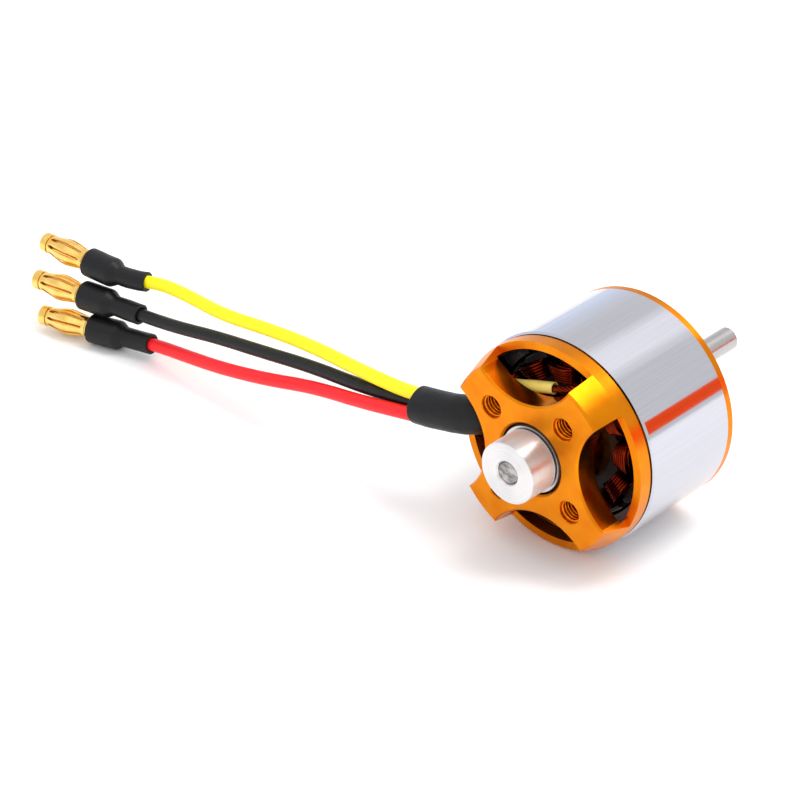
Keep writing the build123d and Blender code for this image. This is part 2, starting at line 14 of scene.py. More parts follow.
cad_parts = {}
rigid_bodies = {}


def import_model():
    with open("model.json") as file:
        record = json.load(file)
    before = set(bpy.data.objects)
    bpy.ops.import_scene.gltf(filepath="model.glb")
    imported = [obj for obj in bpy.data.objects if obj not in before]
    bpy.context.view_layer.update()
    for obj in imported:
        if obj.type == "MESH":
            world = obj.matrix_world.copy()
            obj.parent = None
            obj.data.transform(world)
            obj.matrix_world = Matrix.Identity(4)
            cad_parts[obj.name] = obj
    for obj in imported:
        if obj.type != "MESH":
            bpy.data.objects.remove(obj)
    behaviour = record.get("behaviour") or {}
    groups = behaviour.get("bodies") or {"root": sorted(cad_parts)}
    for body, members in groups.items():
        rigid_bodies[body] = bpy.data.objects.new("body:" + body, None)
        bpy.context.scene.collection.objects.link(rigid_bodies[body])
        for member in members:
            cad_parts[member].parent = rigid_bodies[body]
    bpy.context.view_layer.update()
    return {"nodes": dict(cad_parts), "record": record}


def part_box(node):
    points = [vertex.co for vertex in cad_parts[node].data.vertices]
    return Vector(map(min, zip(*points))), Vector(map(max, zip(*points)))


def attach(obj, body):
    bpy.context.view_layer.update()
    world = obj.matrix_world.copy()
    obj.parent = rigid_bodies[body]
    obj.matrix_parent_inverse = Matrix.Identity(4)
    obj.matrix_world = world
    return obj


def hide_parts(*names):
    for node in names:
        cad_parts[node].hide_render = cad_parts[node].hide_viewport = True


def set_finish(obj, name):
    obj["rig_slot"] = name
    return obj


# Without a seed, noise_vector gives other windings on each run.
noise.seed_set(7)
for leftover in list(bpy.data.objects):
    bpy.data.objects.remove(leftover)
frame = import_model()
NODES = frame["nodes"]
MM = 0.001
COLOURS = ("yellow", "black", "red")
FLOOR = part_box("flux_ring")[0].z


def mm(*values):
    """A point given in millimetres, in metres."""
    return Vector(values) * MM


# ---------------------------------------------------------------- camera
# A scratch program fitted these to the photograph's view.
CAMERA_LENS = 121.73
CAMERA_PLACE = (176.24, -213.99, 178.31)
CAMERA_DIRECTION = (-0.57849, 0.62606, -0.52288)


def add_camera():
    """The photograph's view: from the front, to the right and above, with a long lens."""
    data = bpy.data.cameras.new("camera")
    data.lens = CAMERA_LENS
    data.sensor_width = 36
    data.clip_start = 0.01
    camera = bpy.data.objects.new("camera", data)
    bpy.context.collection.objects.link(camera)
    camera.location = mm(*CAMERA_PLACE)
    camera.rotation_euler = Vector(CAMERA_DIRECTION).to_track_quat("-Z", "Y").to_euler()
    bpy.context.scene.camera = camera


add_camera()

# ---------------------------------------------------------------- leads
WIRE_RADIUS = 0.925
# The same points as in part.py: rounded and spaced by hand from points that a scratch program placed.
LEAD_ROUTES = {
    "yellow": [
        (-14.74, 1.56, 1.29),
        (-20.54, 1.33, 0.25),
        (-30.5, 2.2, -0.65),
        (-40.2, 3.55, -1.6),
        (-48.5, 3.85, -2.45),
        (-57.5, 3.5, -3.4),
        (-65.0, 4.25, -3.65),
        (-70.6, 4.2, -3.8),
    ],
    "black": [
        (-14.43, 2.40, -0.41),
        (-20.23, 2.17, -1.45),
        (-30.0, 2.0, -2.8),
        (-39.5, 2.65, -4.0),
        (-49.0, 2.45, -5.35),
        (-57.5, 2.4, -6.5),
        (-64.3, 1.65, -7.35),
        (-69.8, 1.45, -7.95),
    ],
    "red": [
        (-14.28, 0.57, -0.98),
        (-20.08, 0.34, -2.02),
        (-28.6, 0.45, -3.85),
        (-37.8, 1.05, -5.7),
        (-46.0, 0.3, -7.5),
        (-54.5, 0.35, -9.3),
        (-62.0, 1.0, -10.75),
        (-67.8, 1.4, -11.7),
    ],
}
# Where each heat-shrink ends and the bare bullet begins, and the bullet's turn and pitch in degrees.
CONNECTORS = {
    "yellow": ((-82.35, 1.66, -3.75), 6.3, 4.0),
    "black": ((-81.66, -0.37, -7.94), 10.5, 0.8),
    "red": ((-79.4, -1.15, -12.1), 14.9, -0.3),
}
LAST_BEND = 7.2
LEAD_END = 1.7


def connector_axis(colour):
    """The bullet's start, and the way that it points."""
    start, turn, pitch = CONNECTORS[colour]
    turn, pitch = math.radians(turn), math.radians(pitch)
    level = -math.cos(pitch)
    return mm(*start), Vector((level * math.cos(turn), level * math.sin(turn), math.sin(pitch)))


def lead_points(colour):
    """The route of a lead, from its solder joint in the sleeve to the connector's cup."""
    start, forward = connector_axis(colour)
    points = [mm(*point) for point in LEAD_ROUTES[colour]]
    return points + [start - forward * back * MM for back in (LAST_BEND, LEAD_END)]


def smooth_curve(name, points, radius):
    """A NURBS curve with these control points. With a radius, in millimetres, it is a round tube.

    The points carry the scale, because a curve's box grows by its points' radius.
    """
    data = bpy.data.curves.new(name, "CURVE")
    data.dimensions = "3D"
    spline = data.splines.new("NURBS")
    spline.points.add(len(points) - 1)
    for control, point in zip(spline.points, points):
        control.co = (*point, 1)
        control.radius = MM
    spline.order_u = 3
    spline.use_endpoint_u = True
    spline.resolution_u = 14
    data.bevel_depth = radius
    data.bevel_resolution = 6
    data.use_fill_caps = radius > 0
    curve = bpy.data.objects.new(name, data)
    bpy.context.collection.objects.link(curve)
    return curve


def line_of(points):
    """The points along the NURBS curve of a route."""
    curve = smooth_curve("route", points, 0)
    mesh = bpy.data.meshes.new_from_object(curve)
    line = [vertex.co.copy() for vertex in mesh.vertices]
    bpy.data.objects.remove(curve)
    bpy.data.meshes.remove(mesh)
    return line


class Track:
    """A line that can be asked for the point and the direction at a distance along it."""

    def __init__(self, line):
        self.line = line
        self.marks = [0.0]
        for here, after in zip(line, line[1:]):
            self.marks.append(self.marks[-1] + (after - here).length)
        self.length = self.marks[-1]

    def at(self, distance):
        """The point at that distance. Past either end it runs straight on."""
        step = 1
        while step < len(self.marks) - 1 and self.marks[step] < distance:
            step += 1
        share = (distance - self.marks[step - 1]) / (self.marks[step] - self.marks[step - 1])
        return self.line[step - 1].lerp(self.line[step], share)

    def along(self, distance):
        """The direction at that distance, averaged over a short stretch."""
        reach = 0.2 * MM
        return (self.at(distance + reach) - self.at(distance - reach)).normalized()


TRACKS = {}
LEADS = {}
for colour in COLOURS:
    route = lead_points(colour)
    TRACKS[colour] = Track(line_of(route))
    LEADS[colour] = smooth_curve(f"lead_wire_{colour}", route, WIRE_RADIUS)
    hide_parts(f"lead_{colour}")
    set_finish(LEADS[colour], f"{colour}_silicone")
    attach(LEADS[colour], "stator")


# ---------------------------------------------------------------- mesh helpers
def make_object(name, bm, slot, body, *replaced):
    """A finished, smooth-shaded mesh that rides on a body and stands for CAD nodes."""
    bmesh.ops.recalc_face_normals(bm, faces=bm.faces)
    mesh = bpy.data.meshes.new(name)
    bm.to_mesh(mesh)
    bm.free()
    for face in mesh.polygons:
        face.use_smooth = True
    piece = bpy.data.objects.new(name, mesh)
    bpy.context.collection.objects.link(piece)
    if replaced:
        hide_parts(*replaced)
    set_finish(piece, slot)
    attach(piece, body)
    return piece


def frames_along(track, distances):
    """A centre and two side directions at each distance, turned as little as possible."""
    frames = []
    side = None
    for distance in distances:
        forward = track.along(distance)
        if side is None:
            side = forward.cross(Vector((0, 0, 1)))
            if side.length < 0.1:
                side = forward.cross(Vector((1, 0, 0)))
        side = (side - forward * side.dot(forward)).normalized()
        frames.append((track.at(distance), side, forward.cross(side)))
    return frames


def add_rings(bm, rings, closed=False):
    """Skins a list of rings of points. closed also joins the last ring to the first."""
    made = [[bm.verts.new(point) for point in ring] for ring in rings]
    pairs = list(zip(made, made[1:]))
    if closed:
        pairs.append((made[-1], made[0]))
    count = len(made[0])
    for ring, following in pairs:
        for n in range(count):
            after = (n + 1) % count
            bm.faces.new((ring[n], ring[after], following[after], following[n]))
    return made


def sleeve(bm, track, profile, around=40, radius_at=None):
    """A hollow tube along a track. profile is its section: pairs of distance and radius, in a loop.

    radius_at(distance, angle, radius) may shape each ring, and is given and returns millimetres.
    """
    rings = []
    frames = frames_along(track, [distance for distance, _ in profile])
    for (distance, radius), (centre, side, up) in zip(profile, frames):
        ring = []
        for n in range(around):
            angle = n * math.tau / around
            shaped = radius_at(distance / MM, angle, radius) if radius_at else radius
            ring.append(centre + (side * math.cos(angle) + up * math.sin(angle)) * shaped * MM)
        rings.append(ring)
    add_rings(bm, rings, closed=True)


def ease(low, high, value):
    """0 below low, 1 above high, and smooth between them."""
    share = min(1, max(0, (value - low) / (high - low)))
    return share * share * (3 - 2 * share)


def spread(start, end, count):
    """Evenly spaced values from start to end."""
    return [start + (end - start) * n / (count - 1) for n in range(count)]


# ---------------------------------------------------------------- bundle sleeve
SLEEVE_ROUTE = ((-10.5, 3.1, 0.7), (-11.4, 1.35, 0.65), (-19.1, 1.05, -0.73))
SLEEVE_OUTER = 2.5
SLEEVE_WALL = 0.3
SLEEVE_LIP = 0.12


def bundle_radius(distance, angle, radius):
    """The heat-shrink hugs three wires: three soft lobes, and a few wrinkles at the bend."""
    lobes = 0.13 * math.cos(3 * (angle - 1.2)) * ease(3, 9, distance)
    wrinkle = 0.02 * math.sin(distance * 3.1 + 2 * math.sin(angle)) * (1 - ease(2.2, 4.5, distance))
    dents = 0.07 * noise.noise(Vector((distance * 0.35, 1.4 * math.cos(angle), 1.4 * math.sin(angle))))
    return radius + lobes + wrinkle + dents


def add_bundle_sleeve():
    """The short tube round the three leads, bent where it leaves the base."""
    track = Track(line_of([mm(*point) for point in SLEEVE_ROUTE]))
    end = track.length
    lip = SLEEVE_LIP * MM
    outside = [(lip, SLEEVE_OUTER)] + [(d, SLEEVE_OUTER) for d in spread(4 * lip, end - lip, 70)]
    inner = SLEEVE_OUTER - SLEEVE_WALL
    inside = [(d, inner) for d in spread(end - lip, lip, 50)]
    profile = [(0, SLEEVE_OUTER - SLEEVE_LIP)] + outside + [(end, SLEEVE_OUTER - 0.1), (end, inner + 0.08)]
    profile += inside + [(0, inner + 0.05)]
    bm = bmesh.new()
    sleeve(bm, track, profile, 56, bundle_radius)
    return make_object("bundle_sleeve", bm, "black_sleeve", "stator", "lead_bundle_sleeve")


# ---------------------------------------------------------------- heat-shrinks on the connectors
SHRINK_RADIUS = 2.1
SHRINK_LENGTH = 10.2
SHOULDER_START = 4.3
SHOULDER_END = 5.9
NARROW_RADIUS = 1.42
MOUTH_BORE = 0.99
CUP_BORE = 1.78


def add_heat_shrink(colour, seed):
    """Wide over the solder cup, a rounded shoulder, narrow along the lead, and an open cut mouth."""
    start, forward = connector_axis(colour)
    whole = list(TRACKS[colour].line) + [start]
    track = Track(whole[::-1])

    def outline(back):
        shoulder = ease(SHOULDER_START, SHOULDER_END, back)
        return SHRINK_RADIUS + (NARROW_RADIUS - SHRINK_RADIUS) * shoulder

    def shape(distance, angle, radius):
        spot = Vector((distance * 0.5 + seed, 1.2 * math.cos(angle), 1.2 * math.sin(angle)))
        flat = 0.05 * math.cos(2 * angle + seed) * ease(5.5, 9, distance)
        return radius + 0.055 * noise.noise(spot) * ease(0.3, 2, distance) + flat

    lip = 0.18
    outside = [(0.0, SHRINK_RADIUS - 0.14), (0.06, SHRINK_RADIUS - 0.04)]
    outside += [(back, outline(back)) for back in spread(lip, SHRINK_LENGTH - 0.08, 60)]
    outside += [(SHRINK_LENGTH, NARROW_RADIUS - 0.07), (SHRINK_LENGTH, MOUTH_BORE + 0.1)]
    inside = [(SHRINK_LENGTH - 0.1, MOUTH_BORE), (SHOULDER_END, MOUTH_BORE)]
    inside += [(4.6, CUP_BORE), (0.1, CUP_BORE)]
    profile = [(back * MM, radius) for back, radius in outside + inside]
    bm = bmesh.new()
    sleeve(bm, track, profile, 48, shape)
    return make_object(f"shrink_tube_{colour}", bm, "black_sleeve", "stator", f"heat_shrink_{colour}")


# ---------------------------------------------------------------- bullet springs
LEAF_COUNT = 8
LEAF_COLUMNS = 9
LEAF_WALL = 0.16
SLIT_WIDTH = 0.46
SLIT_START = 1.0
SLIT_END = 6.8
SPRING_START = 0.5
SPRING_END = 7.15
LEAF_WIDEST = 3.9
COLLAR_RADIUS = 1.5
WIDEST_RADIUS = 1.9


def leaf_radius(along):
    """How far the leaves stand out: small at both collars and largest a little past the middle."""
    if along < LEAF_WIDEST:
        return COLLAR_RADIUS + (WIDEST_RADIUS - COLLAR_RADIUS) * ease(SPRING_START, LEAF_WIDEST, along)
    return WIDEST_RADIUS - 0.62 * ease(LEAF_WIDEST - 0.3, SPRING_END + 0.45, along)


def slit_width(along):
    """The gap between two leaves, with rounded ends."""
    middle = (SLIT_START + SLIT_END) / 2
    reach = abs(along - middle) / ((SLIT_END - SLIT_START) / 2)
    return SLIT_WIDTH * math.sqrt(max(0, 1 - reach**10))


def add_spring(colour):
    """Eight separate leaves that bow outwards between two collars."""
    start, forward = connector_axis(colour)
    side = forward.cross(Vector((0, 0, 1))).normalized()
    up = forward.cross(side)
    stops = spread(SPRING_START, SLIT_START, 4) + spread(SLIT_START + 0.02, SLIT_START + 0.2, 4)
    stops += spread(SLIT_START + 0.35, SLIT_END - 0.35, 26)
    stops += spread(SLIT_END - 0.2, SLIT_END - 0.02, 4) + spread(SLIT_END, SPRING_END, 4)
    bm = bmesh.new()
    for leaf in range(LEAF_COUNT):
        middle = leaf * math.tau / LEAF_COUNT
        rows = []
        for along in stops:
            radius = leaf_radius(along)
            half = math.pi / LEAF_COUNT - slit_width(along) / (2 * radius)
            row = []
            for column in range(LEAF_COLUMNS):
                across = 2 * column / (LEAF_COLUMNS - 1) - 1
                angle = middle + across * half
                crown = radius - 0.05 * across**2 * slit_width(along) / SLIT_WIDTH
                out = side * math.cos(angle) + up * math.sin(angle)
                row.append(bm.verts.new(start + (forward * along + out * crown) * MM))
            rows.append(row)
        for row, following in zip(rows, rows[1:]):
            for n in range(LEAF_COLUMNS - 1):
                bm.faces.new((row[n], row[n + 1], following[n + 1], following[n]))
    bmesh.ops.remove_doubles(bm, verts=bm.verts, dist=1e-7)
    piece = make_object(f"leaf_spring_{colour}", bm, "gold_plating", "stator", f"lantern_spring_{colour}")
    thicken = piece.modifiers.new("wall", "SOLIDIFY")
    thicken.thickness = LEAF_WALL * MM
    thicken.offset = -1
    edge = piece.modifiers.new("edge", "BEVEL")
    edge.width = 0.03 * MM
    edge.segments = 2
    edge.limit_method = "ANGLE"
    return piece


# ---------------------------------------------------------------- windings
TOOTH_COUNT = 12
FIRST_TOOTH_ANGLE = 6.0
PHASES = {"a": (0, 1, 6, 7), "b": (2, 3, 8, 9), "c": (4, 5, 10, 11)}
ENAMEL_RADIUS = 0.185
TURN_PITCH = 0.385
COIL_START = 7.75
TURNS = 6
LAYERS = 3
COIL_MIDDLE = 12.4
STEPS_PER_TURN = 30
COIL_HALF_WIDTH = 1.62
COIL_HALF_LENGTH = 5.95
COIL_SWELL = 0.62
LAYER_HEIGHT = 0.3
LAYER_SHORTENING = 0.15
CORNER_ACROSS = 0.55
CORNER_ALONG = 0.42
WIRE_SHAKE = 0.07


def coil_points(angle, seed):
    """One wire wound round a tooth, out along it and back again, layer on layer."""
    out = Vector((math.cos(angle), 0, math.sin(angle)))
    across = Vector((-math.sin(angle), 0, math.cos(angle)))
    axis = Vector((0, 1, 0))
    points = []
    for layer in range(LAYERS):
        layers_above = LAYERS - 1 - layer
        for step in range(TURNS * STEPS_PER_TURN):
            turn = step / STEPS_PER_TURN
            reach = turn if layer % 2 == 0 else TURNS - turn
            radius = COIL_START + reach * TURN_PITCH
            swell = (radius - 7.5) / 2.5
            half_wide = COIL_HALF_WIDTH + COIL_SWELL * swell - layers_above * LAYER_HEIGHT
            half_long = (COIL_HALF_LENGTH + COIL_SWELL * swell) * (1 - layers_above * LAYER_SHORTENING)
            around = turn * math.tau
            c, s = math.cos(around), math.sin(around)
            wide = math.copysign(abs(c) ** CORNER_ACROSS, c) * half_wide
            long = math.copysign(abs(s) ** CORNER_ALONG, s) * half_long
            shake = noise.noise_vector(Vector((radius * 1.7 + seed, around * 0.8, layer * 3.1)))
            spot = out * radius + across * wide + axis * (COIL_MIDDLE + long) + shake * WIRE_SHAKE
            points.append(spot * MM)
    return points


def wire_curve(name, lines, radius):
    """Round wires along lists of points, in one object."""
    data = bpy.data.curves.new(name, "CURVE")
    data.dimensions = "3D"
    data.bevel_depth = radius
    data.bevel_resolution = 2
    data.use_fill_caps = True
    for line in lines:
        spline = data.splines.new("POLY")
        spline.points.add(len(line) - 1)
        for control, point in zip(spline.points, line):
            control.co = (*point, 1)
            control.radius = MM
        spline.use_smooth = True
    wires = bpy.data.objects.new(name, data)
    bpy.context.collection.objects.link(wires)
    return wires


def add_windings():
    """Each phase's four coils, as one object."""
    made = []
    for phase, teeth in PHASES.items():
        lines = [
            coil_points(math.radians(FIRST_TOOTH_ANGLE + tooth * 360 / TOOTH_COUNT), tooth * 5.3)
            for tooth in teeth
        ]
        winding = wire_curve(f"winding_{phase}", lines, ENAMEL_RADIUS)
        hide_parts(f"coils_phase_{phase}")
        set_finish(winding, "enamelled_copper")
        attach(winding, "stator")
        made.append(winding)
    return made


# ---------------------------------------------------------------- winding ends
BUNDLE_OFFSETS = {
    "yellow": (-0.24, 0.33, 1.20),
    "black": (0.07, 1.17, -0.50),
    "red": (0.22, -0.66, -1.07),
}
TAIL_ROUTES = {
    "yellow": [
        (-10.6, 3.9, 2.6),
        (-9.2, 4.5, 4.6),
        (-6.9, 4.4, 5.9),
        (-4.0, 4.35, 6.9),
        (-0.8, 4.4, 8.0),
        (1.4, 4.5, 8.5),
        (3.0, 4.85, 9.3),
    ],
    "black": [(-10.0, 4.6, 0.2), (-8.6, 4.9, -0.4)],
    "red": [
        (-10.2, 3.75, -0.8),
        (-9.4, 4.5, -3.4),
        (-7.9, 4.4, -5.6),
        (-5.2, 4.45, -7.3),
        (-2.4, 4.4, -8.2),
        (-0.6, 4.8, -9.2),
    ],
}
TUBING_SHARES = {"yellow": (0.42, 0.83), "red": (0.45, 0.8)}
STRANDS = 5
STRAND_RADIUS = 0.17
TWIST_RADIUS = 0.3
TWIST_PITCH = 3.4
JOINT_LENGTH = 1.5
SAMPLES_PER_MM = 7
TUBING_RADIUS = 0.74
TUBING_BORE = 0.58


def tail_track(colour):
    """From the solder joint in the sleeve, round its bend and along to the coils."""
    first, second = (mm(*point) for point in LEAD_ROUTES[colour][:2])
    joint_end = first + (first - second).normalized() * JOINT_LENGTH * MM
    bend = mm(*SLEEVE_ROUTE[1]) + mm(*BUNDLE_OFFSETS[colour])
    return Track(line_of([joint_end, bend] + [mm(*point) for point in TAIL_ROUTES[colour]]))


def add_winding_ends(colour):
    """Five enamelled wires twisted together."""
    track = tail_track(colour)
    distances = spread(0, track.length, int(track.length / MM * SAMPLES_PER_MM))
    frames = frames_along(track, distances)
    lines = []
    for strand in range(STRANDS):
        line = []
        for distance, (centre, side, up) in zip(distances, frames):
            angle = strand * math.tau / STRANDS + distance / MM / TWIST_PITCH * math.tau
            loose = TWIST_RADIUS * (1 + 0.25 * ease(track.length - 2 * MM, track.length, distance))
            line.append(centre + (side * math.cos(angle) + up * math.sin(angle)) * loose * MM)
        lines.append(line)
    wires = wire_curve(f"winding_end_{colour}", lines, STRAND_RADIUS)
    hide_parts(f"winding_tail_{colour}")
    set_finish(wires, "enamelled_copper")
    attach(wires, "stator")
    return wires


def add_tubing(colour):
    """Thin pale tubing over the twisted wires, a little crushed."""
    track = tail_track(colour)
    first, last = (share * track.length for share in TUBING_SHARES[colour])

    def crushed(distance, angle, radius):
        spot = Vector((distance * 0.45, math.cos(angle), math.sin(angle)))
        return radius * (1 + 0.06 * math.cos(2 * angle + distance * 0.3)) + 0.05 * noise.noise(spot)

    lip = 0.05 * MM
    outside = [(d, TUBING_RADIUS) for d in spread(first + lip, last - lip, 60)]
    inside = [(d, TUBING_BORE) for d in spread(last - lip, first + lip, 30)]
    profile = [(first, 0.66)] + outside + [(last, 0.7), (last, 0.6)] + inside + [(first, 0.6)]
    bm = bmesh.new()
    sleeve(bm, track, profile, 32, crushed)
    return make_object(f"tubing_{colour}", bm, "pale_tubing", "stator", f"tail_insulation_{colour}")


# ---------------------------------------------------------------- threads in the four mount holes
BOLT_CIRCLE = 8.0
FIRST_BOLT_ANGLE = 52.5
THREAD_MAJOR = 1.52
THREAD_MINOR = 1.23
THREAD_PITCH = 0.5
THREAD_START = 0.3
THREAD_END = 3.15
THREAD_STEPS = 40
THREAD_FADE_STEPS = 12
ROOT_HALF_WIDTH = 0.24
CREST_HALF_WIDTH = 0.05


def add_threads():
    """The M3 thread in each hole: a wedge-shaped ridge wound along the wall."""
    total = int((THREAD_END - THREAD_START) / THREAD_PITCH * THREAD_STEPS)
    bm = bmesh.new()
    for hole in range(4):
        place = math.radians(FIRST_BOLT_ANGLE + hole * 90)
        centre = Vector((BOLT_CIRCLE * math.cos(place), 0, BOLT_CIRCLE * math.sin(place)))
        sections = []
        for n in range(total + 1):
            angle = n * math.tau / THREAD_STEPS
            fade = min(1, n / THREAD_FADE_STEPS, (total - n) / THREAD_FADE_STEPS)
            crest = THREAD_MAJOR - (THREAD_MAJOR - THREAD_MINOR) * fade
            y = THREAD_START + n / THREAD_STEPS * THREAD_PITCH
            out = Vector((math.cos(angle), 0, math.sin(angle)))
            profile = (
                (THREAD_MAJOR, -ROOT_HALF_WIDTH),
                (crest, -CREST_HALF_WIDTH),
                (crest, CREST_HALF_WIDTH),
                (THREAD_MAJOR, ROOT_HALF_WIDTH),
            )
            sections.append([
                bm.verts.new((centre + out * radius + Vector((0, y + shift, 0))) * MM)
                for radius, shift in profile
            ])
        for section, following in zip(sections, sections[1:]):
            for n in range(4):
                after = (n + 1) % 4
                bm.faces.new((section[n], section[after], following[after], following[n]))
        bm.faces.new(sections[0])
        bm.faces.new(sections[-1][::-1])
    return make_object("hole_threads", bm, "gold_anodised", "stator")


# ---------------------------------------------------------------- materials
def new_material(name, colour, metallic=0.0, roughness=0.5, specular=0.5):
    """A Principled material, with its even values set on the shader's own sockets."""
    material = bpy.data.materials.new(name)
    material.use_nodes = True
    shader = material.node_tree.nodes["Principled BSDF"]
    shader.inputs["Base Color"].default_value = (*colour, 1)
    shader.inputs["Metallic"].default_value = metallic
    shader.inputs["Roughness"].default_value = roughness
    shader.inputs["Specular IOR Level"].default_value = specular
    return material


class Paint:
    """Short ways to add procedural detail to a material."""

    def __init__(self, material):
        self.tree = material.node_tree
        self.shader = self.tree.nodes["Principled BSDF"]
        self.place = self.tree.nodes.new("ShaderNodeTexCoord").outputs["Object"]
        self.normal = None

    def node(self, kind, **settings):
        """A shader node, with its inputs or its own settings given by name."""
        made = self.tree.nodes.new(kind)
        for key, value in settings.items():
            if key in made.inputs:
                made.inputs[key].default_value = value
            else:
                setattr(made, key, value)
        return made

    def link(self, output, socket):
        """Joins an output to a socket."""
        self.tree.links.new(output, socket)

    def maths(self, operation, first, second):
        """One sum of two values, each a number or an output."""
        made = self.node("ShaderNodeMath", operation=operation)
        for socket, value in zip(made.inputs, (first, second)):
            if isinstance(value, (int, float)):
                socket.default_value = value
            else:
                self.link(value, socket)
        return made.outputs[0]

    def stretched(self, scale):
        """Object coordinates with a scale for each axis, in cycles per millimetre."""
        made = self.node("ShaderNodeMapping")
        made.inputs["Scale"].default_value = [value / MM for value in scale]
        self.link(self.place, made.inputs["Vector"])
        return made.outputs[0]

    def lathe(self, radial, axial, turning):
        """Coordinates that follow turning marks round the shaft's axis."""
        radius, y, angle = self.polar()
        joined = self.node("ShaderNodeCombineXYZ")
        self.link(self.maths("MULTIPLY", radius, radial / MM), joined.inputs[0])
        self.link(self.maths("MULTIPLY", y, axial / MM), joined.inputs[1])
        self.link(self.maths("MULTIPLY", angle, turning), joined.inputs[2])
        return joined.outputs[0]

    def polar(self):
        """The distance from the shaft's axis, the place along it and the angle round it."""
        parts = self.node("ShaderNodeSeparateXYZ")
        self.link(self.place, parts.inputs[0])
        x, y, z = parts.outputs
        squares = self.maths("ADD", self.maths("MULTIPLY", x, x), self.maths("MULTIPLY", z, z))
        return self.maths("SQRT", squares, 0), y, self.maths("ARCTAN2", z, x)

    def outside(self, radius):
        """1 outside this radius from the shaft's axis, in millimetres, and 0 inside it."""
        return self.maths("GREATER_THAN", self.polar()[0], radius * MM)

    def beyond(self, distance):
        """1 further along the shaft than this, in millimetres, and 0 before it."""
        return self.maths("GREATER_THAN", self.polar()[1], distance * MM)

    def mixed(self, share, first, second):
        """first where share is 0 and second where it is 1. Each is a colour or an output."""
        made = self.node("ShaderNodeMixRGB")
        self.link(share, made.inputs[0])
        for socket, value in zip(made.inputs[1:], (first, second)):
            if isinstance(value, tuple):
                socket.default_value = (*value, 1)
            else:
                self.link(value, socket)
        return made.outputs[0]

    def noise(self, vector, detail=3.0, roughness=0.6):
        """A noise texture over those coordinates."""
        made = self.node("ShaderNodeTexNoise", Scale=1.0, Detail=detail, Roughness=roughness)
        self.link(vector, made.inputs["Vector"])
        return made.outputs["Fac"]

    def ramp(self, value, stops):
        """A colour for each value, from pairs of position and colour."""
        made = self.node("ShaderNodeValToRGB")
        ramp = made.color_ramp
        while len(ramp.elements) < len(stops):
            ramp.elements.new(0.5)
        for element, (position, colour) in zip(ramp.elements, stops):
            element.position = position
            element.color = (*colour, 1)
        self.link(value, made.inputs[0])
        return made.outputs[0]

    def between(self, value, low, high):
        """Maps the middle of a noise to a range."""
        made = self.node("ShaderNodeMapRange")
        made.inputs["From Min"].default_value = 0.3
        made.inputs["From Max"].default_value = 0.7
        made.inputs["To Min"].default_value = low
        made.inputs["To Max"].default_value = high
        self.link(value, made.inputs["Value"])
        return made.outputs["Result"]

    def colour(self, output):
        """Sets the base colour."""
        self.link(output, self.shader.inputs["Base Color"])

    def roughness(self, output):
        """Sets the roughness."""
        self.link(output, self.shader.inputs["Roughness"])

    def turned(self, amount):
        """Turning marks round the shaft's axis smear a reflection across themselves."""
        made = self.node("ShaderNodeTangent", direction_type="RADIAL", axis="Y")
        self.link(made.outputs[0], self.shader.inputs["Tangent"])
        self.shader.inputs["Anisotropic"].default_value = amount
        self.shader.inputs["Anisotropic Rotation"].default_value = 0.25

    def bump(self, height, depth, strength=1.0):
        """A bump of that depth in millimetres, on top of the ones before it."""
        made = self.node("ShaderNodeBump", Strength=strength)
        made.inputs["Distance"].default_value = depth * MM
        self.link(height, made.inputs["Height"])
        if self.normal:
            self.link(self.normal, made.inputs["Normal"])
        self.normal = made.outputs["Normal"]
        self.link(self.normal, self.shader.inputs["Normal"])


POCKET_EDGE = 0.28
POCKET_REACH = 12.6


def gold_anodised():
    """Turned aluminium, dyed gold-orange: fine lathe marks, uneven dye, and glossier milled pockets."""
    material = new_material("gold_anodised", (0.77, 0.23, 0.004), 1.0, 0.3)
    paint = Paint(material)
    marks = paint.noise(paint.lathe(9.0, 9.0, 0.6), 2.0)
    cloud = paint.noise(paint.stretched((0.25, 0.25, 0.25)), 2.0)
    grain = paint.noise(paint.stretched((22, 22, 22)), 2.0)
    dye = paint.ramp(cloud, ((0.3, (0.73, 0.195, 0.003)), (0.7, (0.81, 0.26, 0.006))))
    paint.colour(dye)
    within_reach = paint.maths("SUBTRACT", 1, paint.outside(POCKET_REACH))
    pocket = paint.maths("MULTIPLY", paint.beyond(POCKET_EDGE), within_reach)
    satin = paint.between(grain, 0.26, 0.34)
    paint.roughness(paint.mixed(pocket, satin, (0.16, 0.16, 0.16)))
    paint.turned(0.8)
    paint.bump(marks, 0.0010)
    paint.bump(grain, 0.0006)
    return material


CAN_BORE = 13.0


def polished_can():
    """Bright nickel plate with hair-fine drawn marks along the can. Inside its bore it is painted
    near-black: painted shade.
    """
    material = new_material("polished_can", (0.56, 0.565, 0.62), 1.0, 0.09)
    paint = Paint(material)
    drawn = paint.noise(paint.lathe(0.2, 0.06, 55.0), 2.0)
    cloud = paint.noise(paint.stretched((0.12, 0.12, 0.12)), 2.0)
    paint.roughness(paint.between(cloud, 0.07, 0.12))
    plated = paint.ramp(drawn, ((0.3, (0.54, 0.545, 0.60)), (0.7, (0.58, 0.585, 0.64))))
    # Painted shade: inside the bore's radius the can is near-black, standing for the shade inside the
    # rotor.
    paint.colour(paint.mixed(paint.outside(CAN_BORE), (0.05, 0.045, 0.045), plated))
    paint.bump(drawn, 0.0006)
    return material


def turned_steel(name, colour, roughness, mark_depth):
    """Steel with turning marks round the shaft's axis."""
    material = new_material(name, colour, 1.0, roughness)
    paint = Paint(material)
    marks = paint.noise(paint.lathe(11.0, 11.0, 0.5), 3.0)
    smear = paint.noise(paint.stretched((0.6, 0.6, 0.6)), 3.0)
    paint.roughness(paint.between(smear, roughness * 0.8, roughness * 1.3))
    darker = tuple(channel * 0.9 for channel in colour)
    paint.colour(paint.ramp(marks, ((0.25, darker), (0.7, colour))))
    paint.bump(marks, mark_depth)
    return material


SHAFT_END_FACE = -3.83


